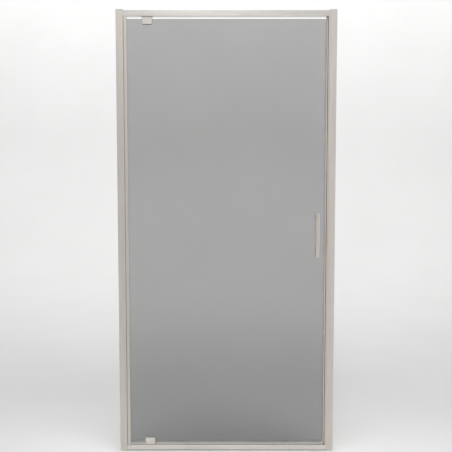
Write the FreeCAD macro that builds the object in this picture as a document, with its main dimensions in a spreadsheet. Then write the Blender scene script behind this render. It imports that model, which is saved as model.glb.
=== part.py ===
import FreeCAD, Part
import os
from math import cos, radians, sin

import Sketcher
from FreeCAD import Vector

# Framed pivot shower door.
#
# X runs across the door, Y from its outer side (-) to its inner side (+), Z up.
# The origin is the centre of the doorway, level with the underside of the frame,
# in the middle plane of the glass.
# The leaf turns on two pins near its left edge, so its short end swings in and its
# long end swings out. The left lip of the frame stands in front of the glass,
# the right lip behind it. All sizes are in millimetres.

SIZES = {
    # frame
    "frame_width": 954.0,
    "profile_height": 1946.0,
    "cap_height": 4.0,
    "jamb_depth": 40.0,
    "wall_face": 31.5,
    "profile_wall": 1.8,
    "slide_gap": 0.3,
    "wall_clearance": 8.0,
    "profile_edge": 1.2,
    "groove_width": 3.0,
    "groove_depth": 6.5,
    "lip_width": 12.4,
    "lip_depth": 11.4,
    "lip_edge": 0.8,
    "stop_lip_width": 6.7,
    "stop_jamb_reach": 5.0,
    "rail_height": 24.5,
    "rail_wall": 2.0,
    "rail_edge": 1.2,
    "header_edge": 0.4,
    "sill_foot_height": 3.5,
    "sill_foot_inset": 3.5,
    "sill_back_height": 21.0,
    "sill_land": 11.5,
    "port_radius": 3.3,
    "port_bore": 1.7,
    "port_inset": 1.8,
    "port_spacing": 14.0,
    # fixings of the frame
    "wall_hole_radius": 3.25,
    "wall_hole_top_inset": 100.0,
    "wall_hole_middle_spacing": 560.0,
    "corner_screw_radius": 1.9,
    "corner_screw_head_radius": 3.4,
    "corner_screw_head": 2.4,
    "corner_screw_length": 22.0,
    "access_hole_radius": 4.5,
    "lock_screw_radius": 1.9,
    "lock_screw_head_radius": 3.6,
    "lock_screw_head": 2.0,
    "lock_screw_length": 10.0,
    "lock_screw_end_inset": 190.0,
    "lock_screw_inset": 20.0,
    "cover_radius": 5.4,
    "cover_wall": 0.9,
    # glass leaf
    "glass_thickness": 6.0,
    "glass_left_overlap": 7.0,
    "glass_right_gap": 11.3,
    "glass_rail_gap": 9.9,
    "glass_edge": 0.7,
    "notch_width": 30.0,
    "notch_depth": 17.0,
    "notch_round": 5.0,
    # pivots
    "pivot_inset": 134.5,
    "block_width": 42.0,
    "block_height": 29.0,
    "block_rail_gap": 3.9,
    "block_plate": 9.0,
    "block_edge": 1.0,
    "gasket_thickness": 1.0,
    "core_width": 26.0,
    "core_gap": 1.0,
    "block_screw_spacing": 17.0,
    "block_screw_radius": 2.5,
    "block_screw_head_radius": 4.2,
    "block_screw_head": 4.0,
    "block_screw_engagement": 8.0,
    "socket_radius": 2.0,
    "socket_depth": 2.2,
    "pin_radius": 4.0,
    "pin_depth": 16.0,
    "pin_reach": 9.0,
    "pin_edge": 0.8,
    "running_gap": 0.05,
    "bush_radius": 6.4,
    "bush_flange_radius": 9.0,
    "bush_flange": 1.4,
    "bush_reach": 10.0,
    "plate_length": 54.0,
    "plate_depth": 22.0,
    "plate_thickness": 2.2,
    "plate_corner": 3.0,
    "plate_screw_spacing": 40.0,
    "plate_screw_radius": 1.9,
    "plate_screw_head_radius": 3.7,
    "plate_screw_head": 1.6,
    "plate_screw_length": 9.0,
    # handle
    "handle_inset": 38.0,
    "handle_width": 16.2,
    "handle_foot_width": 14.8,
    "handle_thickness": 10.0,
    "handle_length": 195.0,
    "handle_middle": 974.3,
    "handle_standoff": 45.0,
    "handle_edge": 1.6,
    "post_spacing": 160.0,
    "post_radius": 6.0,
    "post_spigot": 4.0,
    "post_spigot_radius": 4.0,
    "washer_radius": 7.0,
    "washer_thickness": 1.0,
    "handle_hole_radius": 5.0,
    "stud_radius": 2.5,
    "stud_engagement": 14.0,
    "inner_cap_height": 7.0,
    "inner_cap_edge": 1.2,
    "inner_cap_engagement": 4.0,
    "inner_cap_socket": 2.0,
    "grub_radius": 2.0,
    "grub_height": 3.2,
    "grub_inset": 9.0,
    # seals
    "seal_wall": 1.2,
    "seal_fit": 0.1,
    "seal_leg": 6.1,
    "seal_end_gap": 1.9,
    "leaf_seal_projection": 5.2,
    "magnet_gap": 0.2,
    "magnet_thickness": 2.2,
    "strike_seal_gap": 0.4,
    "bubble_radius": 2.2,
    "bubble_wall": 0.9,
    "bubble_gap": 0.3,
    "bubble_base_width": 8.0,
    "bubble_inset": 2.0,
    "drip_leg": 9.0,
    "drip_gap": 0.3,
    "drip_fin": 1.4,
    "drip_slope": 5.6,
}


class Size:
    """A number of the spreadsheet, or a sum worked out from such numbers."""

    def __init__(self, value, text):
        self.value = value
        self.text = text

    def joined(self, other, sign, value):
        return Size(value, "(" + self.text + sign + as_size(other).text + ")")

    def __add__(self, other):
        return self.joined(other, " + ", self.value + as_size(other).value)

    def __sub__(self, other):
        return self.joined(other, " - ", self.value - as_size(other).value)

    def __mul__(self, other):
        return self.joined(other, " * ", self.value * as_size(other).value)

    def __truediv__(self, other):
        return self.joined(other, " / ", self.value / as_size(other).value)

    def __neg__(self):
        return Size(-self.value, "(0 - " + self.text + ")")


def as_size(number):
    if isinstance(number, Size):
        return number
    if number < 0:
        return Size(number, "(0 - " + repr(-number) + ")")
    return Size(number, repr(number))


doc = FreeCAD.newDocument("pivot_shower_door")
sheet = doc.addObject("Spreadsheet::Sheet", "sizes")


def fill_sheet():
    for row, (name, value) in enumerate(SIZES.items(), start=1):
        sheet.set("A%d" % row, name)
        sheet.set("B%d" % row, str(value))
        sheet.setAlias("B%d" % row, name)
    doc.recompute()


def size(name):
    """The named cell of the sheet; its unit is millimetres wherever a length is asked for."""
    return Size(SIZES[name], "sizes." + name)


fill_sheet()

# ---------------------------------------------------------------- places worked out once
half_width = size("frame_width") / 2
jamb_front = -(size("jamb_depth") / 2)
jamb_back = size("jamb_depth") / 2
inner_back = jamb_back - size("profile_wall") - size("slide_gap")
inner_front = -inner_back
profile_top = size("profile_height")
header_top = profile_top
header_bottom = header_top - size("rail_height")
sill_top = size("rail_height")
rail_end = half_width - size("wall_clearance")

wall_edge = half_width - size("wall_face")
left_jamb_end = -(wall_edge - size("groove_width"))
left_lip_end = left_jamb_end + size("lip_width")
lip_back = jamb_front + size("lip_depth")
right_jamb_end = wall_edge - size("stop_jamb_reach")
stop_lip_end = right_jamb_end - size("stop_lip_width")
stop_front = -lip_back

glass_front = -(size("glass_thickness") / 2)
glass_back = size("glass_thickness") / 2
glass_left = left_lip_end - size("glass_left_overlap")
glass_right = wall_edge - size("glass_right_gap")
glass_top = header_bottom - size("glass_rail_gap")
glass_bottom = sill_top + size("glass_rail_gap")

pivot_x = size("pivot_inset") - half_width
block_left = pivot_x - size("block_width") / 2
block_right = pivot_x + size("block_width") / 2
pad_depth = glass_back + size("gasket_thickness")
block_depth = pad_depth + size("block_plate")

handle_x = wall_edge - size("handle_inset") - size("handle_width") / 2
handle_low = size("handle_middle") - size("handle_length") / 2
handle_high = size("handle_middle") + size("handle_length") / 2
post_low = size("handle_middle") - size("post_spacing") / 2
post_high = size("handle_middle") + size("post_spacing") / 2
bar_face = size("handle_standoff")
bar_back = bar_face - size("handle_thickness")
post_foot = glass_back + size("washer_thickness")

PLANES = {"X": "YZ_Plane", "Y": "XZ_Plane", "Z": "XY_Plane"}
parts = []


# ---------------------------------------------------------------- modelling helpers
def new_body(label):
    body = doc.addObject("PartDesign::Body", label)
    body.Label = label
    parts.append(body)
    return body


def origin_item(body, role):
    return next(item for item in body.Origin.OriginFeatures if item.Role == role)


def new_sketch(body, axis, place):
    """An empty sketch square to the axis, standing at the given place along it."""
    sketch = body.newObject("Sketcher::SketchObject", body.Label + "_sketch")
    sketch.AttachmentSupport = [(origin_item(body, PLANES[axis]), "")]
    sketch.MapMode = "FlatFace"
    offset = -as_size(place) if axis == "Y" else as_size(place)
    sketch.setExpression("AttachmentOffset.Base.z", offset.text)
    return sketch


def hold_point(sketch, geometry, vertex, point):
    for kind, coordinate in zip(("DistanceX", "DistanceY"), point):
        place = as_size(coordinate)
        rule = Sketcher.Constraint(kind, -1, 1, geometry, vertex, place.value)
        index = sketch.addConstraint(rule)
        sketch.setExpression("Constraints[%d]" % index, place.text)


def draw_polygon(sketch, points):
    first = sketch.GeometryCount
    corners = [Vector(as_size(x).value, as_size(y).value, 0) for x, y in points]
    count = len(corners)
    for index in range(count):
        line = Part.LineSegment(corners[index], corners[(index + 1) % count])
        sketch.addGeometry(line, False)
    for index in range(count):
        following = first + (index + 1) % count
        sketch.addConstraint(Sketcher.Constraint("Coincident", first + index, 2, following, 1))
    for index, point in enumerate(points):
        hold_point(sketch, first + index, 1, point)


def draw_circle(sketch, centre, radius):
    index = sketch.GeometryCount
    x, y = (as_size(coordinate).value for coordinate in centre)
    circle = Part.Circle(Vector(x, y, 0), Vector(0, 0, 1), as_size(radius).value)
    sketch.addGeometry(circle, False)
    hold_point(sketch, index, 3, centre)
    rule = sketch.addConstraint(Sketcher.Constraint("Radius", index, as_size(radius).value))
    sketch.setExpression("Constraints[%d]" % rule, as_size(radius).text)


def in_order(one, other):
    low, high = sorted((as_size(one), as_size(other)), key=lambda item: item.value)
    return low, high


def extrude(body, kind, axis, draw, ends):
    """Pads or pockets what draw puts in a sketch, between the two ends along the axis.

    A pad runs along the normal of its sketch and a pocket against it,
    and the normal of a sketch square to Y points towards -Y.
    """
    low, high = in_order(*ends)
    starts_high = (axis == "Y") == (kind == "Pad")
    sketch = new_sketch(body, axis, high if starts_high else low)
    draw(sketch)
    feature = body.newObject("PartDesign::" + kind, body.Label + "_" + kind.lower())
    feature.Profile = sketch
    feature.setExpression("Length", (high - low).text)
    return feature


def cut(body, axis, draw, ends):
    doc.recompute()
    before = body.Shape.Volume
    extrude(body, "Pocket", axis, draw, ends)
    doc.recompute()
    if body.Shape.Volume >= before:
        raise ValueError(body.Label + ": a pocket removed nothing")


def polygon_of(points):
    return lambda sketch: draw_polygon(sketch, points)


def circles_of(centres, radius):
    def draw(sketch):
        for centre in centres:
            draw_circle(sketch, centre, radius)

    return draw


def pad_outline(body, axis, points, ends):
    extrude(body, "Pad", axis, polygon_of(points), ends)


def pad_circles(body, axis, centres, radius, ends):
    extrude(body, "Pad", axis, circles_of(centres, radius), ends)


def cut_outline(body, axis, points, ends):
    cut(body, axis, polygon_of(points), ends)


def cut_circles(body, axis, centres, radius, ends):
    cut(body, axis, circles_of(centres, radius), ends)


def rectangle(one, other, low, high):
    """Four corners of a rectangle; each pair of sides may come in either order."""
    left, right = in_order(one, other)
    bottom, top = in_order(low, high)
    return [(left, bottom), (right, bottom), (right, top), (left, top)]


def hexagon(centre, radius):
    """Corners of a regular hexagon, the first one straight to the right of the centre."""
    x, y = centre
    corners = [radians(60 * index) for index in range(6)]
    return [(x + radius * cos(angle), y + radius * sin(angle)) for angle in corners]


def turn(body, axis_x, outline):
    """Revolves an outline of (radius, height) points about the upright line at axis_x."""
    sketch = new_sketch(body, "Y", 0)
    sketch.setExpression("AttachmentOffset.Base.x", as_size(axis_x).text)
    draw_polygon(sketch, outline)
    feature = body.newObject("PartDesign::Revolution", body.Label + "_turned")
    feature.Profile = sketch
    feature.ReferenceAxis = (sketch, ["V_Axis"])
    feature.Angle = 360
    return feature


def repeat(body, feature, role, spacing):
    """A second copy of the feature, the spacing away along the origin axis."""
    doc.recompute()
    pattern = body.newObject("PartDesign::LinearPattern", body.Label + "_pair")
    pattern.Originals = [feature]
    pattern.Direction = (origin_item(body, role), [""])
    pattern.setExpression("Length", as_size(spacing).text)
    pattern.Occurrences = 2
    body.Tip = pattern


def dress_edges(body, kind, property_name, amount, wanted):
    """Fillets or chamfers each edge of the body that the wanted test picks."""
    doc.recompute()
    base = body.Tip
    names = ["Edge%d" % index for index, edge in enumerate(base.Shape.Edges, start=1) if wanted(edge)]
    if not names:
        raise ValueError(body.Label + ": no edge to dress")
    feature = body.newObject("PartDesign::" + kind, body.Label + "_" + kind.lower())
    feature.Base = (base, names)
    feature.setExpression(property_name, as_size(amount).text)


def round_edges(body, radius, wanted):
    dress_edges(body, "Fillet", "Radius", radius, wanted)


def chamfer_edges(body, width, wanted):
    dress_edges(body, "Chamfer", "Size", width, wanted)


def on_plane(edge, axis, place):
    """True for an edge that lies wholly in the plane across the axis at that place."""
    box = edge.BoundBox
    low, high = {"X": (box.XMin, box.XMax), "Y": (box.YMin, box.YMax), "Z": (box.ZMin, box.ZMax)}[axis]
    at = as_size(place).value
    return abs(low - at) < 1e-4 and abs(high - at) < 1e-4


# ---------------------------------------------------------------- wall profiles and caps
def wall_holes():
    """Heights of the four screw holes in each wall profile."""
    middle = profile_top / 2
    outer = middle - size("wall_hole_top_inset")
    inner = size("wall_hole_middle_spacing") / 2
    return [middle - outer, middle - inner, middle + inner, middle + outer]


def lock_heights():
    middle = profile_top / 2
    reach = middle - size("lock_screw_end_inset")
    return [middle - reach, middle, middle + reach]


def build_wall_profile(label, side):
    """U channel, open towards the door, with screw holes through its base."""
    body = new_body(label)
    wall = half_width * side
    base = (half_width - size("profile_wall")) * side
    edge = wall_edge * side
    front_inside = jamb_front + size("profile_wall")
    outline = [
        (wall, jamb_front), (edge, jamb_front), (edge, front_inside), (base, front_inside),
        (base, -front_inside), (edge, -front_inside), (edge, jamb_back), (wall, jamb_back),
    ]
    pad_outline(body, "Z", outline, (0, profile_top))
    holes = [(0, height) for height in wall_holes()]
    cut_circles(body, "X", holes, size("wall_hole_radius"), (wall, base))
    lock_x = (half_width - size("lock_screw_inset")) * side
    locks = [(lock_x, height) for height in lock_heights()]
    radius = size("lock_screw_radius") + size("slide_gap")
    cut_circles(body, "Y", locks, radius, (-front_inside, jamb_back))
    corners = rectangle(wall, edge, jamb_front, jamb_back)
    round_edges(body, size("profile_edge"), upright_edges(corners))


def upright_edges(points):
    """A test for the upright edges that stand on any of the given points of X and Y."""
    return lambda edge: any(on_plane(edge, "X", x) and on_plane(edge, "Y", y) for x, y in points)


def build_end_cap(label, side):
    """Flat cap on a wall profile, with a plug that reaches down inside it."""
    body = new_body(label)
    wall = half_width * side
    top = profile_top + size("cap_height")
    plate = rectangle(wall, wall_edge * side, jamb_front, jamb_back)
    pad_outline(body, "Z", plate, (profile_top, top))
    round_edges(body, size("profile_edge"), upright_edges(plate))
    plug_wall = (half_width - size("profile_wall") - size("slide_gap")) * side
    plug_edge = (rail_end + size("slide_gap")) * side
    plug = rectangle(plug_wall, plug_edge, inner_front, inner_back)
    pad_outline(body, "Z", plug, (profile_top - size("cap_height") * 2, profile_top))
    round_edges(body, size("rail_edge"), lambda edge: on_plane(edge, "Z", top))


# ---------------------------------------------------------------- inner jambs and rails
def sill_outline():
    """Section of the sill: a foot set back in front, flat land under the leaf, a fall behind."""
    edge = size("rail_edge")
    foot = inner_front + size("sill_foot_inset")
    foot_top = size("sill_foot_height")
    return [
        (foot, 0), (inner_back, 0), (inner_back, size("sill_back_height")),
        (size("sill_land"), sill_top), (inner_front + edge, sill_top), (inner_front, sill_top - edge),
        (inner_front, foot_top), (foot, foot_top),
    ]


def port_centres(side):
    """Middles of the two round screw ports on the inner face nearest the wall profile."""
    x = (rail_end - size("profile_wall") - size("port_inset")) * side
    y = size("port_spacing") / 2
    return [(x, -y), (x, y)]


def build_jamb(label, side, end, lip_end, lip_ends):
    """Hollow inner jamb between sill and header, with a hollow lip along one edge."""
    body = new_body(label)
    wall = size("profile_wall")
    back = rail_end * side
    lip_low, lip_high = lip_ends
    heights = (size("sill_back_height"), header_bottom)
    pad_outline(body, "Z", rectangle(back, end, inner_front, inner_back), heights)
    pad_outline(body, "Z", rectangle(end, lip_end, lip_low, lip_high), heights)
    chamber_ends = (back - wall * side, end + wall * side)
    chamber = rectangle(*chamber_ends, inner_front + wall, inner_back - wall)
    cut_outline(body, "Z", chamber, heights)
    lip_chamber = rectangle(end - wall * side, lip_end + wall * side, lip_low + wall, lip_high - wall)
    cut_outline(body, "Z", lip_chamber, heights)
    if side < 0:
        cut_shadow_groove(body, end, heights)
    for centre in port_centres(side):
        pad_circles(body, "Z", [centre], size("port_radius"), heights)
    cut_circles(body, "Z", port_centres(side), size("port_bore"), heights)
    lock_x = (half_width - size("lock_screw_inset")) * side
    locks = [(lock_x, height) for height in lock_heights()]
    cut_circles(body, "Y", locks, size("lock_screw_radius"), (inner_back - wall, inner_back))
    cut_outline(body, "X", sill_outline(), (back, lip_end))
    front, _ = in_order(inner_front, lip_low)
    round_edges(body, size("lip_edge"), upright_edges([(end, front), (lip_end, lip_low)]))


def cut_shadow_groove(body, end, heights):
    """Deepens the narrow groove between the wall profile and the lip, and closes it behind."""
    wall = size("profile_wall")
    outer = end - size("groove_width")
    floor = inner_front + size("groove_depth")
    pad_outline(body, "Z", rectangle(outer - wall, end, inner_front, floor + wall), heights)
    cut_outline(body, "Z", rectangle(outer, end, inner_front, floor), heights)


def build_header():
    """Hollow top rail; its lower wall carries the pivot plate and the corner screws."""
    body = new_body("header_rail")
    wall = size("rail_wall")
    outline = rectangle(inner_front, inner_back, header_bottom, header_top)
    pad_outline(body, "X", outline, (-rail_end, rail_end))
    chamber = rectangle(inner_front + wall, inner_back - wall, header_bottom + wall, header_top - wall)
    cut_outline(body, "X", chamber, (-rail_end, rail_end))
    lower_wall = (header_bottom, header_bottom + wall)
    cut_circles(body, "Z", [(pivot_x, 0)], size("bush_radius"), lower_wall)
    cut_circles(body, "Z", corner_points(), size("corner_screw_radius"), lower_wall)
    cut_circles(body, "Z", corner_points(), size("access_hole_radius"), (header_top - wall, header_top))
    cut_circles(body, "Z", plate_screw_points(), size("plate_screw_radius"), lower_wall)
    round_edges(body, size("header_edge"), is_long_outer_edge)


def is_long_outer_edge(edge):
    at_face = on_plane(edge, "Y", inner_front) or on_plane(edge, "Y", inner_back)
    return at_face and edge.BoundBox.XLength > rail_end.value


def build_sill():
    """Hollow bottom rail, flat underneath, which carries the bottom pivot plate."""
    body = new_body("threshold_rail")
    wall = size("rail_wall")
    pad_outline(body, "X", sill_outline(), (-rail_end, rail_end))
    foot = inner_front + size("sill_foot_inset") + wall
    foot_top = size("sill_foot_height") + wall
    chamber = [
        (foot, wall), (inner_back - wall, wall),
        (inner_back - wall, size("sill_back_height") - wall * 1.4),
        (size("sill_land") - wall / 2, sill_top - wall), (inner_front + wall, sill_top - wall),
        (inner_front + wall, foot_top), (foot, foot_top),
    ]
    cut_outline(body, "X", chamber, (-rail_end, rail_end))
    upper_wall = (sill_top - wall, sill_top)
    cut_circles(body, "Z", [(pivot_x, 0)], size("bush_radius"), upper_wall)
    cut_circles(body, "Z", corner_points(), size("corner_screw_radius"), upper_wall)
    cut_circles(body, "Z", corner_points(), size("access_hole_radius"), (0, wall))
    cut_circles(body, "Z", plate_screw_points(), size("plate_screw_radius"), upper_wall)


# ---------------------------------------------------------------- fixings of the frame
def corner_points():
    return port_centres(-1) + port_centres(1)


def build_corner_screws(label, seat, inward):
    """Four pan-head screws from inside a rail into the screw ports of the jambs."""
    body = new_body(label)
    tip = seat + size("corner_screw_length") * inward
    pad_circles(body, "Z", corner_points(), size("port_bore"), (seat, tip))
    head = seat - size("corner_screw_head") * inward
    pad_circles(body, "Z", corner_points(), size("corner_screw_head_radius"), (head, seat))


def build_lock_screws(label, side):
    """Three screws through the wall profile's back flange that hold the inner jamb."""
    body = new_body(label)
    x = (half_width - size("lock_screw_inset")) * side
    points = [(x, height) for height in lock_heights()]
    tip = jamb_back - size("lock_screw_length")
    pad_circles(body, "Y", points, size("lock_screw_radius"), (tip, jamb_back))
    head = jamb_back + size("lock_screw_head")
    pad_circles(body, "Y", points, size("lock_screw_head_radius"), (jamb_back, head))


def build_screw_covers(label, side):
    """Round press-on covers over the locking screws."""
    body = new_body(label)
    x = (half_width - size("lock_screw_inset")) * side
    points = [(x, height) for height in lock_heights()]
    inside = jamb_back + size("lock_screw_head") + size("slide_gap")
    top = inside + size("cover_wall")
    pad_circles(body, "Y", points, size("cover_radius"), (jamb_back, top))
    bore = size("cover_radius") - size("cover_wall")
    cut_circles(body, "Y", points, bore, (jamb_back, inside))
    chamfer_edges(body, size("cover_wall") / 2, lambda edge: on_plane(edge, "Y", top))


# ---------------------------------------------------------------- pivots on the frame
def plate_screw_points():
    reach = size("plate_screw_spacing") / 2
    return [(pivot_x - reach, 0), (pivot_x + reach, 0)]


def build_pivot_plate(label, rail_face, outward):
    """Flat plate screwed to a rail; the bush of the pivot sits in it."""
    body = new_body(label)
    reach_x = size("plate_length") / 2
    reach_y = size("plate_depth") / 2
    outline = rectangle(pivot_x - reach_x, pivot_x + reach_x, -reach_y, reach_y)
    face = rail_face + size("plate_thickness") * outward
    pad_outline(body, "Z", outline, (rail_face, face))
    cut_circles(body, "Z", [(pivot_x, 0)], size("bush_radius"), (rail_face, face))
    cut_circles(body, "Z", plate_screw_points(), size("plate_screw_radius"), (rail_face, face))
    recess = face - size("plate_screw_head") * outward
    cut_circles(body, "Z", plate_screw_points(), size("plate_screw_head_radius"), (recess, face))
    round_edges(body, size("plate_corner"), lambda edge: is_plate_corner(edge, reach_x, reach_y))


def is_plate_corner(edge, reach_x, reach_y):
    box = edge.BoundBox
    at_end = abs(abs(box.XMin - pivot_x.value) - reach_x.value) < 1e-4
    at_side = abs(abs(box.YMin) - reach_y.value) < 1e-4
    return at_end and at_side and box.XLength < 1e-4 and box.YLength < 1e-4


def build_plate_screws(label, rail_face, outward):
    """Two countersunk screws, flush with the pivot plate."""
    body = new_body(label)
    face = rail_face + size("plate_thickness") * outward
    seat = face - size("plate_screw_head") * outward
    tip = face - size("plate_screw_length") * outward
    shank = size("plate_screw_radius")
    outline = [(0, face), (size("plate_screw_head_radius"), face), (shank, seat),
               (shank, tip + shank * outward), (0, tip)]
    first_x, second_x = (point[0] for point in plate_screw_points())
    screw = turn(body, first_x, outline)
    repeat(body, screw, "X_Axis", second_x - first_x)


def build_bush(label, rail_face, outward):
    """Flanged plastic bush; its flange is the thrust washer under or over the block."""
    body = new_body(label)
    seat = rail_face + size("plate_thickness") * outward
    face = seat + size("bush_flange") * outward
    end = rail_face - size("bush_reach") * outward
    bore = size("pin_radius") + size("running_gap")
    outline = [(bore, face), (size("bush_flange_radius"), face), (size("bush_flange_radius"), seat),
               (size("bush_radius"), seat), (size("bush_radius"), end), (bore, end)]
    turn(body, pivot_x, outline)


# ---------------------------------------------------------------- glass leaf
def build_glass():
    """Toughened pane, notched for the pivot blocks and drilled for the handle."""
    body = new_body("door_glass")
    outline = rectangle(glass_left, glass_right, glass_bottom, glass_top)
    pad_outline(body, "Y", outline, (glass_front, glass_back))
    reach = size("notch_width") / 2
    for edge_height, inward in ((glass_bottom, 1), (glass_top, -1)):
        depth = edge_height + size("notch_depth") * inward
        notch = rectangle(pivot_x - reach, pivot_x + reach, edge_height, depth)
        cut_outline(body, "Y", notch, (glass_front, glass_back))
    round_edges(body, size("notch_round"), is_notch_corner)
    posts = [(handle_x, post_low), (handle_x, post_high)]
    cut_circles(body, "Y", posts, size("handle_hole_radius"), (glass_front, glass_back))
    chamfer_edges(body, size("glass_edge"), is_glass_rim)


def is_notch_corner(edge):
    box = edge.BoundBox
    at_side = abs(abs(box.XMin - pivot_x.value) - size("notch_width").value / 2) < 1e-4
    inside = glass_bottom.value + 1 < box.ZMin and box.ZMax < glass_top.value - 1
    return at_side and inside and box.XLength < 1e-4 and box.ZLength < 1e-4


def is_glass_rim(edge):
    """Outer border of either face: not the notches and not the holes."""
    on_face = on_plane(edge, "Y", glass_front) or on_plane(edge, "Y", glass_back)
    borders = (("X", glass_left), ("X", glass_right), ("Z", glass_bottom), ("Z", glass_top))
    return on_face and any(on_plane(edge, axis, place) for axis, place in borders)


# ---------------------------------------------------------------- pivot blocks on the leaf
class Block:
    """Heights of one pivot block; inward is +1 at the bottom and -1 at the top."""

    def __init__(self, rail_face, glass_edge, inward):
        self.inward = inward
        self.outer = rail_face + size("block_rail_gap") * inward
        self.inner = self.outer + size("block_height") * inward
        self.bridge = glass_edge - size("slide_gap") * inward
        self.core = glass_edge + (size("notch_depth") - size("core_gap")) * inward
        self.glass_edge = glass_edge
        self.screws = (self.bridge + self.core) / 2

    def screw_points(self):
        reach = size("block_screw_spacing") / 2
        return [(pivot_x - reach, self.screws), (pivot_x + reach, self.screws)]


def build_block_front(label, block):
    """Outer half of the block, with the core that fills the notch and holds the pin."""
    body = new_body(label)
    plate = rectangle(block_left, block_right, block.outer, block.inner)
    pad_outline(body, "Y", plate, (-block_depth, -pad_depth))
    bridge = rectangle(block_left, block_right, block.outer, block.bridge)
    pad_outline(body, "Y", bridge, (-pad_depth, pad_depth))
    reach = size("core_width") / 2
    core = rectangle(pivot_x - reach, pivot_x + reach, block.outer, block.core)
    pad_outline(body, "Y", core, (-pad_depth, pad_depth))
    bore_end = block.outer + size("pin_depth") * block.inward
    cut_circles(body, "Z", [(pivot_x, 0)], size("pin_radius"), (block.outer, bore_end))
    thread_end = pad_depth - size("block_screw_engagement") * 2
    cut_circles(body, "Y", block.screw_points(), size("block_screw_radius"), (thread_end, pad_depth))
    round_edges(body, size("block_edge"), lambda edge: on_plane(edge, "Y", -block_depth))


def build_block_back(label, block):
    """Inner half of the block, drawn up by two socket screws in deep recesses."""
    body = new_body(label)
    plate = rectangle(block_left, block_right, block.outer, block.inner)
    pad_outline(body, "Y", plate, (pad_depth, block_depth))
    hole = size("block_screw_radius") + size("slide_gap")
    cut_circles(body, "Y", block.screw_points(), hole, (pad_depth, block_depth))
    seat = block_depth - size("block_screw_head") - size("socket_depth") / 2
    recess = size("block_screw_head_radius") + size("slide_gap")
    cut_circles(body, "Y", block.screw_points(), recess, (seat, block_depth))
    round_edges(body, size("block_edge"), is_back_face_border)


def is_back_face_border(edge):
    """The straight border of the block's back face, without the rims of the screw recesses."""
    return on_plane(edge, "Y", block_depth) and edge.Curve.TypeId == "Part::GeomLine"


def build_block_screws(label, block):
    body = new_body(label)
    seat = block_depth - size("block_screw_head") - size("socket_depth") / 2
    head = seat + size("block_screw_head")
    tip = pad_depth - size("block_screw_engagement") * 2
    points = block.screw_points()
    pad_circles(body, "Y", points, size("block_screw_radius"), (tip, seat))
    pad_circles(body, "Y", points, size("block_screw_head_radius"), (seat, head))
    for centre in points:
        socket = hexagon(centre, size("socket_radius"))
        cut_outline(body, "Y", socket, (head - size("socket_depth"), head))


def build_gaskets(label, block):
    """Two soft pads between the block halves and the glass, open at the core."""
    body = new_body(label)
    reach = size("core_width") / 2
    outer = block.glass_edge
    core = block.core
    outline = [
        (block_left, outer), (block_left, block.inner), (block_right, block.inner),
        (block_right, outer), (pivot_x + reach, outer), (pivot_x + reach, core),
        (pivot_x - reach, core), (pivot_x - reach, outer),
    ]
    pad_outline(body, "Y", outline, (-pad_depth, glass_front))
    pad_outline(body, "Y", outline, (glass_back, pad_depth))


def build_pin(label, block, rail_face):
    """Steel pin pressed into the block's core, turning in the bush of the rail."""
    body = new_body(label)
    edge = size("pin_edge")
    inner = block.outer + size("pin_depth") * block.inward
    outer = rail_face - size("pin_reach") * block.inward
    radius = size("pin_radius")
    outline = [(0, inner), (radius, inner), (radius, outer + edge * block.inward),
               (radius - edge, outer), (0, outer)]
    turn(body, pivot_x, outline)


# ---------------------------------------------------------------- handle
def post_points():
    return [(handle_x, post_low), (handle_x, post_high)]


def build_handle_bar():
    """Flat upright bar, a little narrower at its foot, drilled for the spigots of its posts."""
    body = new_body("outer_handle_bar")
    left = handle_x - size("handle_width") / 2
    outline = [
        (left, handle_low), (left + size("handle_foot_width"), handle_low),
        (left + size("handle_width"), handle_high), (left, handle_high),
    ]
    pad_outline(body, "Y", outline, (-bar_back, -bar_face))
    depth = -(bar_back + size("post_spigot"))
    cut_circles(body, "Y", post_points(), size("post_spigot_radius"), (-bar_back, depth))
    round_edges(body, size("handle_edge"), lambda edge: on_plane(edge, "Y", -bar_face))


def build_handle_posts():
    """Two round posts between the washers on the glass and the bar."""
    body = new_body("outer_handle_posts")
    pad_circles(body, "Y", post_points(), size("post_radius"), (-post_foot, -bar_back))
    spigot = -(bar_back + size("post_spigot"))
    pad_circles(body, "Y", post_points(), size("post_spigot_radius"), (-bar_back, spigot))
    bore_end = -(post_foot + size("stud_engagement"))
    cut_circles(body, "Y", post_points(), size("stud_radius"), (-post_foot, bore_end))
    for x, height in post_points():
        grub = [(x, -(post_foot + size("grub_inset")))]
        cut_circles(body, "Z", grub, size("grub_radius"), (height - size("post_radius"), height))


def build_inner_caps():
    """Two low round caps that draw the studs tight from inside, each with a socket for its key."""
    body = new_body("inner_handle_caps")
    face = post_foot + size("inner_cap_height")
    pad_circles(body, "Y", post_points(), size("washer_radius"), (post_foot, face))
    round_edges(body, size("inner_cap_edge"), lambda edge: on_plane(edge, "Y", face))
    bore_end = post_foot + size("inner_cap_engagement")
    cut_circles(body, "Y", post_points(), size("stud_radius"), (post_foot, bore_end))
    for centre in post_points():
        socket = hexagon(centre, size("socket_radius"))
        cut_outline(body, "Y", socket, (face - size("inner_cap_socket"), face))


def build_handle_studs():
    body = new_body("handle_studs")
    outer = -(post_foot + size("stud_engagement"))
    inner = post_foot + size("inner_cap_engagement")
    pad_circles(body, "Y", post_points(), size("stud_radius"), (outer, inner))


def build_handle_washers():
    body = new_body("handle_washers")
    for side in (-1, 1):
        ends = (glass_back * side, post_foot * side)
        pad_circles(body, "Y", post_points(), size("washer_radius"), ends)
    cut_circles(body, "Y", post_points(), size("stud_radius"), (-post_foot, post_foot))


def build_handle_sleeves():
    """Soft sleeves that keep the studs off the glass."""
    body = new_body("handle_sleeves")
    pad_circles(body, "Y", post_points(), size("handle_hole_radius"), (glass_front, glass_back))
    cut_circles(body, "Y", post_points(), size("stud_radius"), (glass_front, glass_back))


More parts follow.
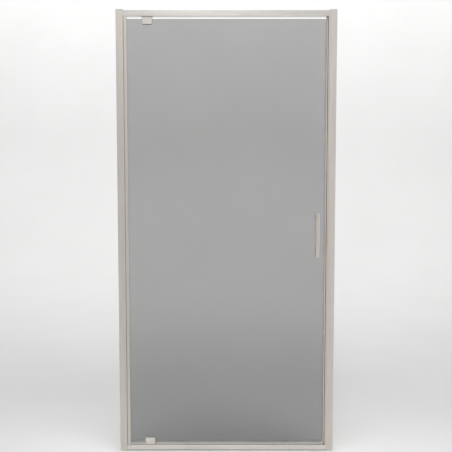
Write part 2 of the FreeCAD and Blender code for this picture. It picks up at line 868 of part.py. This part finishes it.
def build_handle_grubs():
    """Two grub screws under the posts, bearing on the studs."""
    body = new_body("handle_grub_screws")
    for x, height in post_points():
        top = height - size("stud_radius")
        centre = [(x, -(post_foot + size("grub_inset")))]
        low = top - size("grub_height") + size("slide_gap")
        pad_circles(body, "Z", centre, size("grub_radius"), (low, top))


# ---------------------------------------------------------------- seals and magnets
def build_leaf_seal():
    """Clip-on strip on the closing edge of the glass, with a pocket for its magnet."""
    body = new_body("leaf_magnet_seal")
    wall = size("seal_wall")
    leg = glass_right - size("seal_leg")
    tip = glass_right + size("leaf_seal_projection")
    side = glass_back + wall
    slot = glass_back + size("seal_fit")
    web = glass_right + size("seal_fit")
    outline = [
        (leg, -side), (tip, -side), (tip, side), (leg, side),
        (leg, slot), (web, slot), (web, -slot), (leg, -slot),
    ]
    pad_outline(body, "Z", outline, leaf_seal_ends())
    pocket = rectangle(glass_right + wall, tip - wall, glass_front, glass_back)
    cut_outline(body, "Z", pocket, leaf_seal_ends())
    round_edges(body, wall, lambda edge: on_plane(edge, "X", tip) and edge.BoundBox.YLength < 1e-4)


def leaf_seal_ends():
    return (glass_bottom - size("seal_end_gap") * 2, glass_top - size("seal_end_gap"))


def build_leaf_magnet():
    body = new_body("leaf_magnet_strip")
    gap = size("magnet_gap")
    left = glass_right + size("seal_wall") + gap
    right = glass_right + size("leaf_seal_projection") - size("seal_wall") - gap
    outline = rectangle(left, right, glass_back - gap - size("magnet_thickness"), glass_back - gap)
    pad_outline(body, "Z", outline, leaf_seal_ends())


def strike_ends():
    return (sill_top + size("slide_gap"), header_bottom - size("slide_gap"))


def strike_depths():
    """Front and back of the strip that the leaf closes against."""
    front = glass_back + size("seal_wall") + size("strike_seal_gap")
    return front, stop_front


def build_strike_holder():
    """Hollow strip on the stop lip, with its magnet facing the leaf's."""
    body = new_body("strike_magnet_holder")
    wall = size("seal_wall") / 2
    front, back = strike_depths()
    left = stop_lip_end + wall
    outline = rectangle(left, right_jamb_end, front, back)
    pad_outline(body, "Z", outline, strike_ends())
    pocket = rectangle(left + wall * 2, right_jamb_end - wall * 2, front + wall, back - wall)
    cut_outline(body, "Z", pocket, strike_ends())


def build_strike_magnet():
    body = new_body("strike_magnet_strip")
    front, back = strike_depths()
    wall = size("seal_wall") / 2
    gap = size("magnet_gap")
    left = stop_lip_end + wall * 3 + gap
    right = right_jamb_end - wall * 2 - gap
    near = front + wall + gap
    outline = rectangle(left, right, near, near + size("magnet_thickness") - gap)
    pad_outline(body, "Z", outline, strike_ends())


def bubble_right():
    return left_jamb_end + size("bubble_inset") + size("bubble_base_width")


def build_bubble_seal():
    """Tubular seal on the back of the left lip, resting on the front of the glass."""
    body = new_body("left_lip_seal")
    ends = (sill_top + size("slide_gap"), header_bottom - size("slide_gap"))
    right = bubble_right()
    left = right - size("bubble_base_width")
    centre_x = (left + right) / 2
    radius = size("bubble_radius")
    centre_y = glass_front - size("bubble_gap") - radius
    base = rectangle(left, right, lip_back, centre_y - radius + size("bubble_wall"))
    pad_outline(body, "Z", base, ends)
    pad_circles(body, "Z", [(centre_x, centre_y)], radius, ends)
    cut_circles(body, "Z", [(centre_x, centre_y)], radius - size("bubble_wall"), ends)


def build_drip_seal(label, ends, block_end, away):
    """Clip-on strip under the glass: one fin wipes the sill, one throws water back in."""
    body = new_body(label)
    wall = size("seal_wall")
    outer = glass_back + wall
    slot = glass_back + size("seal_fit")
    floor = glass_bottom - size("seal_fit")
    top = glass_bottom + size("drip_leg")
    web = glass_bottom - wall
    tip = sill_top + size("drip_gap")
    slope = size("drip_slope")
    outline = [
        (-outer, tip), (size("drip_fin") - outer, tip), (size("drip_fin") - glass_back, web),
        (glass_back - wall, web), (glass_back - wall + slope, web - slope),
        (glass_back + slope, web + wall - slope), (outer, web + wall), (outer, top), (slot, top),
        (slot, floor), (-slot, floor), (-slot, top), (-outer, top),
    ]
    pad_outline(body, "X", outline, ends)
    trim_end = pivot_x + (size("plate_length") / 2 + size("drip_slope")) * away
    trim_top = sill_top + size("plate_thickness") + size("drip_gap")
    trim = rectangle(block_end, trim_end, tip, trim_top)
    cut_outline(body, "Y", trim, (-outer, outer + slope))


# ---------------------------------------------------------------- the whole door
def build_frame():
    build_wall_profile("wall_profile_left", -1)
    build_wall_profile("wall_profile_right", 1)
    build_end_cap("end_cap_left", -1)
    build_end_cap("end_cap_right", 1)
    build_jamb("pivot_jamb", -1, left_jamb_end, left_lip_end, (jamb_front, lip_back))
    build_jamb("strike_jamb", 1, right_jamb_end, stop_lip_end, (stop_front, inner_back))
    build_header()
    build_sill()
    build_corner_screws("header_corner_screws", header_bottom + size("rail_wall"), -1)
    build_corner_screws("threshold_corner_screws", sill_top - size("rail_wall"), 1)
    for name, side in (("left", -1), ("right", 1)):
        build_lock_screws("locking_screws_" + name, side)
        build_screw_covers("screw_covers_" + name, side)


def build_pivots():
    rails = (("top", header_bottom, glass_top, -1), ("bottom", sill_top, glass_bottom, 1))
    for name, rail_face, glass_edge, inward in rails:
        build_pivot_plate(name + "_pivot_plate", rail_face, inward)
        build_plate_screws(name + "_plate_screws", rail_face, inward)
        build_bush(name + "_pivot_bush", rail_face, inward)
        block = Block(rail_face, glass_edge, inward)
        build_block_front(name + "_block_front", block)
        build_block_back(name + "_block_back", block)
        build_block_screws(name + "_block_screws", block)
        build_gaskets(name + "_block_gaskets", block)
        build_pin(name + "_pivot_pin", block, rail_face)


def build_handles():
    build_handle_bar()
    build_handle_posts()
    build_inner_caps()
    build_handle_studs()
    build_handle_washers()
    build_handle_sleeves()
    build_handle_grubs()


def build_seals():
    build_leaf_seal()
    build_leaf_magnet()
    build_strike_holder()
    build_strike_magnet()
    build_bubble_seal()
    gap = size("slide_gap")
    left_end = bubble_right() + gap * 2
    build_drip_seal("drip_seal_left", (left_end, block_left - gap), block_left - gap, -1)
    right_end = glass_right - size("seal_leg") - gap
    build_drip_seal("drip_seal_right", (block_right + gap, right_end), block_right + gap, 1)


def check_document():
    doc.recompute()
    for item in doc.Objects:
        if "Invalid" in item.State or "Error" in item.State:
            raise ValueError(item.Label + " failed")
    for part in parts:
        if part.Shape.isNull() or not part.Shape.isValid():
            raise ValueError(part.Label + " has no valid shape")


def write_parts():
    os.makedirs("parts", exist_ok=True)
    for part in parts:
        part.Shape.exportStep("parts/" + part.Label + ".step")
        print(part.Label, len(part.Shape.Solids), round(part.Shape.Volume, 1))


build_frame()
build_pivots()
build_glass()
build_handles()
build_seals()
check_document()
write_parts()
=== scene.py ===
from math import cos, radians, sin

import bpy
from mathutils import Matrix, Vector


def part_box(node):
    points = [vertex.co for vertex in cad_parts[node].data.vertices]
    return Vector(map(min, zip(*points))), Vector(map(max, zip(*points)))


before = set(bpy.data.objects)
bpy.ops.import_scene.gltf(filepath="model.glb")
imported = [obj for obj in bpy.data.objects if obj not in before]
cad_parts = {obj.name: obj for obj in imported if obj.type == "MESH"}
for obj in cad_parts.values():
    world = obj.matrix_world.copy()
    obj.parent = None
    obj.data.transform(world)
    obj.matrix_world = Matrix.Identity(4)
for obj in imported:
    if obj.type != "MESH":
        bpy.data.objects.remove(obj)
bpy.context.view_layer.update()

# ---------------------------------------------------------------- camera and stage
# Lengths are in metres unless a comment says otherwise.
PHOTO_SIZE = 452             # pixels, both ways
PHOTO_FOCAL = 776.0          # focal length of the photograph, in its pixels
SENSOR = 36.0                # millimetres
CAMERA_DROP = 4.78           # degrees below the horizon
CAMERA_PLACE = (-0.002, -3.4173, 1.2993)

FLOOR_RADIUS = 4.6           # the flat part of the floor
STAGE_RADIUS = 6.2
STAGE_HEIGHT = 3.7
STAGE_SIDES = 96
COVE_STEPS = 16

# ---------------------------------------------------------------- colours, linear red, green, blue
NICKEL = (0.665, 0.628, 0.582)
NICKEL_HEADER = (0.675, 0.646, 0.614)
# Painted light: the sill is the uprights' nickel, made brighter to stand for the light from the
# floor that it mirrors.
NICKEL_SILL_PAINTED_LIGHT = (0.80, 0.765, 0.722)
NICKEL_HANDLE = (0.672, 0.631, 0.580)
NICKEL_PLATE = (0.72, 0.685, 0.64)
NICKEL_TOP_BLOCK = (0.68, 0.648, 0.608)
# Painted light: the lower pivot block is the top block's nickel, made brighter to stand for the
# light it catches from the floor.
NICKEL_LOW_BLOCK_PAINTED_LIGHT = (0.80, 0.762, 0.715)
STEEL = (0.60, 0.59, 0.58)
CAP_PLASTIC = (0.56, 0.53, 0.49)
BUSH_PLASTIC = (0.78, 0.76, 0.71)
PAD_RUBBER = (0.20, 0.195, 0.19)
NYLON = (0.85, 0.84, 0.82)
MAGNET = (0.50, 0.45, 0.395)
# Partly real, partly painted shade: the glass's own light grey tint, made darker to stand for the
# shaded space seen through it.
GLASS_TINT_AND_PAINTED_SHADE = (0.435, 0.437, 0.435)
CLEAR_VINYL = (0.975, 0.975, 0.97)
MILKY_VINYL = (0.84, 0.775, 0.70)
DRIP_VINYL = (0.74, 0.735, 0.725)
UPRIGHT_VINYL = (0.86, 0.81, 0.75)
STAGE_PAINT = (0.80, 0.80, 0.795)
KEY_LIGHT = (1.0, 0.99, 0.975)
WHITE_LIGHT = (1.0, 1.0, 1.0)
SKY = (0.965, 0.97, 0.975)

# ---------------------------------------------------------------- material settings
NOISE_LOW, NOISE_HIGH = 0.3, 0.7   # nearly all noise lies between these values
HEADER_ROUGHNESS = 0.31
SILL_PAINTED_SHADE_HEIGHT = 0.0068    # the sill's lowest band, darkened as painted shade along its foot
PAINTED_SHADE_BLUR = 0.0008      # half the height over which that painted shade band begins
VINYL_STEP = 0.0002          # over which a seal's clear leg turns into its body
VINYL_INDEX = 1.45
CLIPPED_VINYL_INDEX = 1.3    # for the seals that clip on the glass
GLASS_INDEX = 1.5

# Sockets of a Mix node: the first value, the second value, and the output.
MIX_SOCKETS = {"FLOAT": (2, 3, 0), "RGBA": (6, 7, 2)}


# ---------------------------------------------------------------- material helpers
class Paint:
    """One procedural material: its nodes, and short ways to add and join them."""

    def __init__(self, name):
        self.material = bpy.data.materials.new(name)
        self.material.use_nodes = True
        self.nodes = self.material.node_tree.nodes
        self.links = self.material.node_tree.links
        self.shader = self.nodes["Principled BSDF"]
        self.place = self.add("ShaderNodeTexCoord").outputs["Object"]

    def add(self, kind, **settings):
        node = self.nodes.new(kind)
        for name, value in settings.items():
            setattr(node, name, value)
        return node

    def join(self, output, target):
        self.links.new(output, target)

    def feed(self, value, socket):
        """Joins an output to the socket, or sets the socket to a plain value."""
        if isinstance(value, bpy.types.NodeSocket):
            self.join(value, socket)
        else:
            socket.default_value = value

    def set(self, **values):
        """Feeds the shader's inputs, named with underscores for spaces."""
        for name, value in values.items():
            self.feed(value, self.shader.inputs[name.replace("_", " ")])

    def noise(self, scale, detail=3.0):
        """Noise whose scale differs along X, Y and Z, in cycles per metre."""
        mapping = self.add("ShaderNodeMapping")
        mapping.inputs["Scale"].default_value = scale
        self.join(self.place, mapping.inputs["Vector"])
        texture = self.add("ShaderNodeTexNoise")
        texture.inputs["Scale"].default_value = 1.0
        texture.inputs["Detail"].default_value = detail
        self.join(mapping.outputs["Vector"], texture.inputs["Vector"])
        return texture.outputs["Fac"]

    def spread(self, value, low, high, from_low=NOISE_LOW, from_high=NOISE_HIGH):
        """The value, mapped so that from_low gives low and from_high gives high."""
        node = self.add("ShaderNodeMapRange")
        node.inputs["From Min"].default_value = from_low
        node.inputs["From Max"].default_value = from_high
        node.inputs["To Min"].default_value = low
        node.inputs["To Max"].default_value = high
        self.join(value, node.inputs["Value"])
        return node.outputs["Result"]

    def mix(self, kind, factor, one, other):
        """One value or colour where the factor is 0 and the other where it is 1."""
        node = self.add("ShaderNodeMix", data_type=kind)
        first, second, result = MIX_SOCKETS[kind]
        for value, socket in ((factor, 0), (one, first), (other, second)):
            self.feed(value, node.inputs[socket])
        return node.outputs[result]

    def tone(self, value, colour, low, high):
        """The colour, scaled from low to high as the value goes through its usual range."""
        return self.mix("RGBA", self.spread(value, 0, 1), shade(colour, low), shade(colour, high))

    def past(self, axis, near, far):
        """0 up to one place along the axis and 1 from the other place on."""
        parts = self.add("ShaderNodeSeparateXYZ")
        self.join(self.place, parts.inputs[0])
        return self.spread(parts.outputs[axis], 0, 1, near, far)

    def bump(self, height, distance, strength):
        node = self.add("ShaderNodeBump")
        node.inputs["Distance"].default_value = distance
        node.inputs["Strength"].default_value = strength
        self.join(height, node.inputs["Height"])
        self.join(node.outputs["Normal"], self.shader.inputs["Normal"])


def shade(colour, factor=1.0):
    """The colour times the factor, with an alpha of 1."""
    return tuple(channel * factor for channel in colour) + (1,)


def along(axis, slow, quick):
    """Noise scales: slow along the grain's axis and quick across it."""
    return tuple(slow if name == axis else quick for name in "XYZ")


def evenly(scale):
    return (scale, scale, scale)


def brushed_nickel(name, colour, axis, roughness=0.36, painted_shade_height=0.0):
    """Warm nickel whose broad streaks, strands and fine grain all run along one axis.

    Where a painted shade height is given, the metal is darker below it, as painted shade.
    """
    paint = Paint(name)
    streaks = paint.noise(along(axis, slow=2.6, quick=85.0), detail=4.0)
    strands = paint.noise(along(axis, slow=9.0, quick=310.0))
    grain = paint.noise(along(axis, slow=18.0, quick=1700.0), detail=2.0)
    broad = paint.mix("FLOAT", factor=0.6, one=streaks, other=strands)
    pattern = paint.mix("FLOAT", factor=0.25, one=broad, other=grain)
    tone = paint.tone(pattern, colour, low=0.89, high=1.11)
    # Painted shade: below the given height the metal is darker, standing for the shade along its
    # foot.
    if painted_shade_height:
        below = paint.past("Z", painted_shade_height + PAINTED_SHADE_BLUR, painted_shade_height - PAINTED_SHADE_BLUR)
        tone = paint.mix("RGBA", below, tone, paint.tone(pattern, colour, low=0.60, high=0.73))
    paint.set(Metallic=1.0, Base_Color=tone,
              Roughness=paint.spread(grain, roughness - 0.05, roughness + 0.07))
    paint.bump(grain, distance=0.00002, strength=0.35)
    return paint.material


def satin_metal(name, colour, roughness):
    """Metal with an even satin finish and small clouds of dulling."""
    paint = Paint(name)
    clouds = paint.noise(evenly(60.0))
    specks = paint.noise(evenly(500.0), detail=2.0)
    paint.set(Metallic=1.0, Base_Color=paint.tone(clouds, colour, low=0.95, high=1.05),
              Roughness=paint.spread(specks, roughness - 0.04, roughness + 0.06))
    paint.bump(specks, distance=0.00001, strength=0.3)
    return paint.material


def glass_with_painted_shade_tint():
    """Clear glass with a neutral grey tint, partly its own light tint and partly painted shade for
    the shaded space behind it, and the faintest film of dried water.
    """
    paint = Paint("glass_with_painted_shade_tint")
    film = paint.noise((7.0, 7.0, 4.0), detail=5.0)
    paint.set(Transmission_Weight=1.0, IOR=GLASS_INDEX, Base_Color=shade(GLASS_TINT_AND_PAINTED_SHADE),
              Roughness=paint.spread(film, 0.0, 0.03, from_low=0.45, from_high=0.8))
    return paint.material


def clear_vinyl(name, colour, axis, clearness, body=None, index=VINYL_INDEX):
    """Soft translucent seal with faint lines from its extrusion.

    A body (axis, near, far, colour, clearness) takes over from near to far on:
    it is where the clear legs clipped on the glass end and the seal's body begins.
    """
    paint = Paint(name)
    lines = paint.noise(along(axis, slow=4.0, quick=900.0), detail=2.0)
    clouds = paint.noise((25.0, 25.0, 9.0))
    tone = paint.tone(clouds, colour, low=0.96, high=1.03)
    if body:
        body_axis, near, far, body_colour, body_clearness = body
        reached = paint.past(body_axis, near, far)
        body_tone = paint.tone(clouds, body_colour, low=0.96, high=1.03)
        tone = paint.mix("RGBA", reached, tone, body_tone)
        if body_clearness != clearness:
            clearness = paint.mix("FLOAT", reached, clearness, body_clearness)
    paint.set(Transmission_Weight=clearness, IOR=index, Base_Color=tone,
              Roughness=paint.spread(lines, 0.1, 0.22))
    paint.bump(lines, distance=0.00003, strength=0.3)
    return paint.material


def moulded_plastic(name, colour, roughness=0.5):
    """Plastic with a fine moulded texture."""
    paint = Paint(name)
    clouds = paint.noise(evenly(40.0))
    texture = paint.noise(evenly(1400.0), detail=2.0)
    paint.set(Base_Color=paint.tone(clouds, colour, low=0.94, high=1.04),
              Roughness=paint.spread(texture, roughness - 0.06, roughness + 0.08))
    paint.bump(texture, distance=0.00004, strength=0.3)
    return paint.material


# ---------------------------------------------------------------- finish of every CAD piece
def dress(material, *nodes):
    for node in nodes:
        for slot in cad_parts[node].material_slots:
            slot.material = material


def dress_frame():
    dress(brushed_nickel("nickel_upright", NICKEL, "Z"),
          "wall_profile_left", "wall_profile_right", "pivot_jamb", "strike_jamb")
    dress(brushed_nickel("nickel_header", NICKEL_HEADER, "X", HEADER_ROUGHNESS), "header_rail")
    # The sill's nickel is brighter as painted light and darker along its foot as painted shade.
    dress(brushed_nickel("nickel_sill_painted_light_and_shade", NICKEL_SILL_PAINTED_LIGHT, "X", painted_shade_height=SILL_PAINTED_SHADE_HEIGHT),
          "threshold_rail")
    dress(moulded_plastic("cap_plastic", CAP_PLASTIC),
          "end_cap_left", "end_cap_right", "screw_covers_left", "screw_covers_right")
    dress(satin_metal("plate_nickel", NICKEL_PLATE, roughness=0.4),
          "top_pivot_plate", "bottom_pivot_plate")
    dress(moulded_plastic("bush_plastic", BUSH_PLASTIC, roughness=0.4),
          "top_pivot_bush", "bottom_pivot_bush")
    dress(satin_metal("screw_steel", STEEL, roughness=0.3),
          "header_corner_screws", "threshold_corner_screws",
          "locking_screws_left", "locking_screws_right",
          "top_plate_screws", "bottom_plate_screws", "top_block_screws", "bottom_block_screws",
          "handle_studs", "handle_grub_screws", "top_pivot_pin", "bottom_pivot_pin")


def dress_leaf():
    dress(glass_with_painted_shade_tint(), "door_glass")
    dress(satin_metal("block_nickel", NICKEL_TOP_BLOCK, roughness=0.45),
          "top_block_front", "top_block_back")
    # The lower block's nickel is made brighter as painted light.
    dress(satin_metal("low_block_nickel_painted_light", NICKEL_LOW_BLOCK_PAINTED_LIGHT, roughness=0.45),
          "bottom_block_front", "bottom_block_back")
    dress(brushed_nickel("handle_nickel", NICKEL_HANDLE, "Z", roughness=0.32),
          "outer_handle_bar", "outer_handle_posts", "inner_handle_caps")
    dress(moulded_plastic("pad_rubber", PAD_RUBBER, roughness=0.6),
          "top_block_gaskets", "bottom_block_gaskets")
    dress(clear_vinyl("washer_nylon", NYLON, "Y", clearness=0.6),
          "handle_washers", "handle_sleeves")


def dress_seals():
    pane_low, pane_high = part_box("door_glass")
    pane_bottom, pane_edge = pane_low[2], pane_high[0]
    closing_body = ("X", pane_edge, pane_edge + VINYL_STEP, MILKY_VINYL, 0.05)
    level_body = ("Z", pane_bottom, pane_bottom - VINYL_STEP, DRIP_VINYL, 1.0)
    dress(clear_vinyl("vinyl_upright", UPRIGHT_VINYL, "Z", clearness=0.15),
          "strike_magnet_holder", "left_lip_seal")
    dress(clear_vinyl("vinyl_closing", CLEAR_VINYL, "Z", 1.0, closing_body, CLIPPED_VINYL_INDEX),
          "leaf_magnet_seal")
    dress(clear_vinyl("vinyl_level", CLEAR_VINYL, "X", 1.0, level_body, CLIPPED_VINYL_INDEX),
          "drip_seal_left", "drip_seal_right")
    dress(moulded_plastic("magnet_strip", MAGNET, roughness=0.65),
          "leaf_magnet_strip", "strike_magnet_strip")


# ---------------------------------------------------------------- stage, lights, camera
def stage_profile():
    """Radius and height from the edge of the flat floor, up the cove, to the top of the wall."""
    cove = STAGE_RADIUS - FLOOR_RADIUS
    bend = [radians(90 * index / COVE_STEPS) for index in range(COVE_STEPS + 1)]
    curve = [(FLOOR_RADIUS + cove * sin(angle), cove - cove * cos(angle)) for angle in bend]
    return curve + [(STAGE_RADIUS, STAGE_HEIGHT)]


def stage_mesh():
    """The flat floor as one face, then rings of four-sided faces that are wound inward."""
    profile = stage_profile()
    turns = [radians(360 * index / STAGE_SIDES) for index in range(STAGE_SIDES)]
    corners = [(radius * cos(turn), radius * sin(turn), height)
               for radius, height in profile for turn in turns]
    faces = [tuple(range(STAGE_SIDES))]
    for low in range(0, (len(profile) - 1) * STAGE_SIDES, STAGE_SIDES):
        high = low + STAGE_SIDES
        for side in range(STAGE_SIDES):
            after = (side + 1) % STAGE_SIDES
            faces.append((low + side, high + side, high + after, low + after))
    mesh = bpy.data.meshes.new("stage")
    mesh.from_pydata(corners, [], faces)
    for face in mesh.polygons[1:]:
        face.use_smooth = True
    return mesh


def build_stage():
    """A round floor that curves up into a plain wall on every side of the door."""
    mesh = stage_mesh()
    stage = bpy.data.objects.new("stage", mesh)
    bpy.context.collection.objects.link(stage)
    paint = Paint("stage_paint")
    clouds = paint.noise(evenly(1.5))
    paint.set(Roughness=0.8, Base_Color=paint.tone(clouds, STAGE_PAINT, low=0.985, high=1.015))
    mesh.materials.append(paint.material)


def add_area_light(name, place, aim, size, power, colour=WHITE_LIGHT, spread=180, in_gloss=True):
    """A soft rectangle of light, which doesn't show through glass. The spread is in degrees."""
    data = bpy.data.lights.new(name, "AREA")
    data.shape = "RECTANGLE"
    data.size, data.size_y = size
    data.energy = power
    data.color = colour
    data.spread = radians(spread)
    light = bpy.data.objects.new(name, data)
    light.location = place
    light.rotation_euler = (Vector(aim) - Vector(place)).to_track_quat("-Z", "Y").to_euler()
    light.visible_transmission = False
    light.visible_glossy = in_gloss
    bpy.context.collection.objects.link(light)


def build_lights():
    """Two lights on the door, two on the walls behind and before it, and one on the floor."""
    add_area_light("key", place=(-0.18, -3.6, 4.2), aim=(0, 0, 1.2), size=(0.4, 2.4),
                   power=28.5, colour=KEY_LIGHT)
    add_area_light("fill", place=(3.2, -3.0, 1.5), aim=(0, 0, 1.0), size=(2.4, 2.4), power=29)
    add_area_light("wash_behind", place=(0, 3.0, 5.0), aim=(0, 6.0, 2.0), size=(6.0, 1.4),
                   power=134)
    add_area_light("wash_before", place=(0, -3.4, 5.0), aim=(0, -6.0, 1.4), size=(6.0, 1.4),
                   power=62)
    add_area_light("floor_before", place=(0, -0.45, 2.7), aim=(0, -0.25, 0), size=(2.2, 0.5),
                   power=2.8, spread=50, in_gloss=False)
    world = bpy.data.worlds.new("studio")
    world.use_nodes = True
    background = world.node_tree.nodes["Background"]
    background.inputs["Color"].default_value = shade(SKY)
    background.inputs["Strength"].default_value = 0.6
    bpy.context.scene.world = world
    bpy.context.scene.view_settings.view_transform = "Standard"


def build_camera():
    """The photograph's view: level with the horizon apart from a small drop."""
    data = bpy.data.cameras.new("camera")
    data.sensor_fit = "HORIZONTAL"
    data.sensor_width = SENSOR
    data.lens = PHOTO_FOCAL / PHOTO_SIZE * SENSOR
    camera = bpy.data.objects.new("camera", data)
    camera.location = CAMERA_PLACE
    camera.rotation_euler = (radians(90 - CAMERA_DROP), 0, 0)
    bpy.context.collection.objects.link(camera)
    bpy.context.scene.camera = camera


build_camera()
build_stage()
build_lights()
dress_frame()
dress_leaf()
dress_seals()
